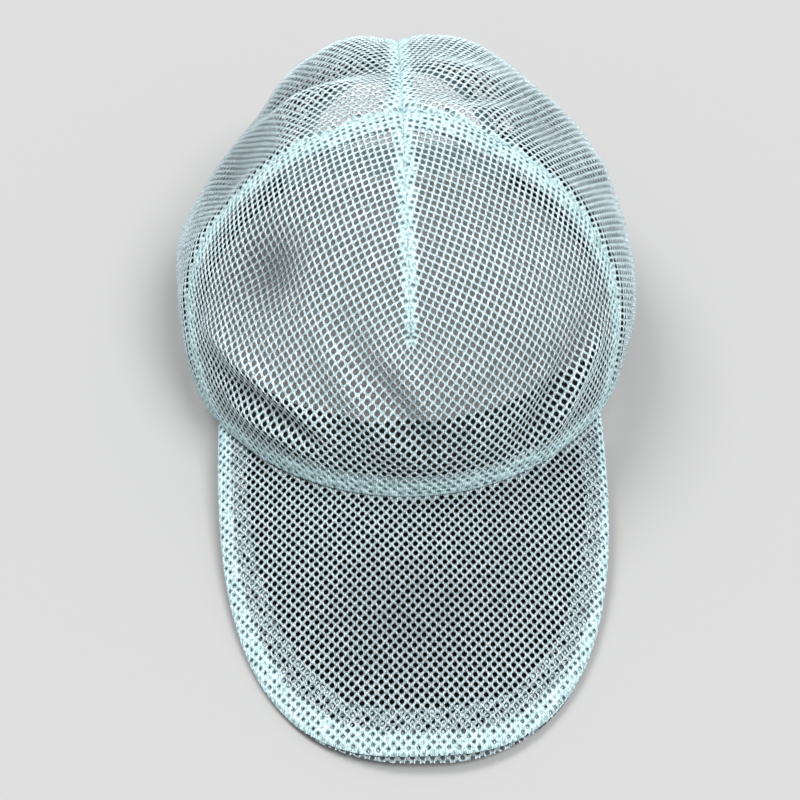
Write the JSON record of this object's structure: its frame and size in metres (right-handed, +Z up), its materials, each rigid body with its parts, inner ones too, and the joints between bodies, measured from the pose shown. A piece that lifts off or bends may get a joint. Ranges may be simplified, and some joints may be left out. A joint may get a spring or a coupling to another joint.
{
  "type": "trucker cap",
  "caption": "Soft all-mesh trucker cap with a domed crown, side seams, a front dart, a long curved brim and an adjustable snap strap across the rear opening.",
  "frame": {"origin": "centre of the head opening, in the plane the rim rests on", "axes": "+Z up through the crown, -Y forward along the brim, +X to the right when the cap is seen from the front"},
  "size_m": [0.17, 0.2928, 0.102],
  "materials": {
    "mesh": "pale mint warp-knit mesh with round holes",
    "sweatband": "charcoal brushed knit",
    "binding": "pale mint woven tape",
    "board": "black stiffener sheet",
    "strap": "pale mint moulded plastic, satin"
  },
  "bodies": {
    "cap": {"front_panel": "mesh", "rear_left_panel": "mesh", "rear_right_panel": "mesh", "front_dart_tape": "mesh", "side_seam_tape_left": "mesh", "side_seam_tape_right": "mesh", "back_seam_tape": "mesh", "rim_tape": "mesh", "sweatband": "sweatband", "opening_binding": "binding", "brim_upper_cover": "mesh", "brim_lower_cover": "mesh", "brim_board": "board", "brim_seam_allowance": "mesh", "strap_root_right": "strap", "strap_root_left": "strap"},
    "hole_half": {"strap_hole_half": "strap"},
    "peg_half": {"strap_peg_half": "strap"}
  },
  "joints": [
    {"name": "hole_half_swing", "type": "hinge", "parent": "cap", "child": "hole_half", "pos_m": [0.0369, 0.08091, 0.011], "axis": [0, 0, -1], "range_deg": [0, 60]},
    {"name": "peg_half_swing", "type": "hinge", "parent": "cap", "child": "peg_half", "pos_m": [-0.0369, 0.07947, 0.011], "axis": [0, 0, -1], "range_deg": [0, 35]}
  ]
}
